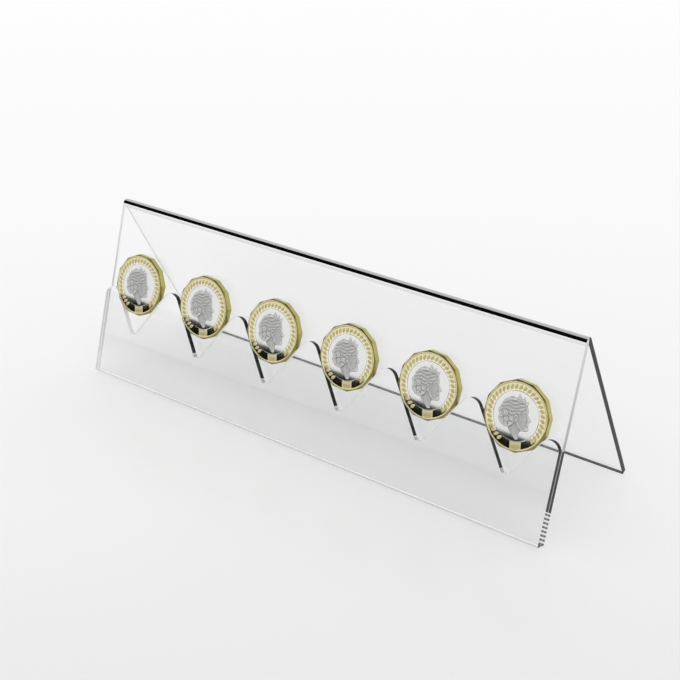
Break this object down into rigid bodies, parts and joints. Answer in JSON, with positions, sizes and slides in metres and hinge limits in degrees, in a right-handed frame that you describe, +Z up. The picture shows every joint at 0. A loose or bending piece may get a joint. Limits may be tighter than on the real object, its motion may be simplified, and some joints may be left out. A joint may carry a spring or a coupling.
{
  "type": "coin display stand",
  "caption": "Clear bent-sheet easel with a bonded notched strip that holds a row of loose two-metal tokens, each standing in its own notch.",
  "frame": {"origin": "on the ground, under the middle of the whole object's box", "axes": "+X along the row of tokens, to the right seen from the front; -Y to the front; +Z up"},
  "size_m": [0.2, 0.0596, 0.0657],
  "materials": {
    "clear_sheet": "water-clear polished acrylic sheet with flame-polished edges",
    "clear_strip": "water-clear polished acrylic sheet, laser-cut edges",
    "token_ring": "pale yellow metal, struck, polished",
    "token_core": "silver-coloured metal, mirror field with a frosted raised head"
  },
  "bodies": {
    "stand": {"bent_sheet": "clear_sheet", "notched_strip": "clear_strip"},
    "token_1": {"token_1_ring": "token_ring", "token_1_core": "token_core"},
    "token_2": {"token_2_ring": "token_ring", "token_2_core": "token_core"},
    "token_3": {"token_3_ring": "token_ring", "token_3_core": "token_core"},
    "token_4": {"token_4_ring": "token_ring", "token_4_core": "token_core"},
    "token_5": {"token_5_ring": "token_ring", "token_5_core": "token_core"},
    "token_6": {"token_6_ring": "token_ring", "token_6_core": "token_core"}
  },
  "joints": [
    {"name": "token_1_lift", "type": "slide", "parent": "stand", "child": "token_1", "axis": [0, 0.289, 0.9573], "range_m": [0, 0.045]},
    {"name": "token_2_lift", "type": "slide", "parent": "stand", "child": "token_2", "axis": [0, 0.289, 0.9573], "range_m": [0, 0.045]},
    {"name": "token_3_lift", "type": "slide", "parent": "stand", "child": "token_3", "axis": [0, 0.289, 0.9573], "range_m": [0, 0.045]},
    {"name": "token_4_lift", "type": "slide", "parent": "stand", "child": "token_4", "axis": [0, 0.289, 0.9573], "range_m": [0, 0.045]},
    {"name": "token_5_lift", "type": "slide", "parent": "stand", "child": "token_5", "axis": [0, 0.289, 0.9573], "range_m": [0, 0.045]},
    {"name": "token_6_lift", "type": "slide", "parent": "stand", "child": "token_6", "axis": [0, 0.289, 0.9573], "range_m": [0, 0.045]}
  ]
}
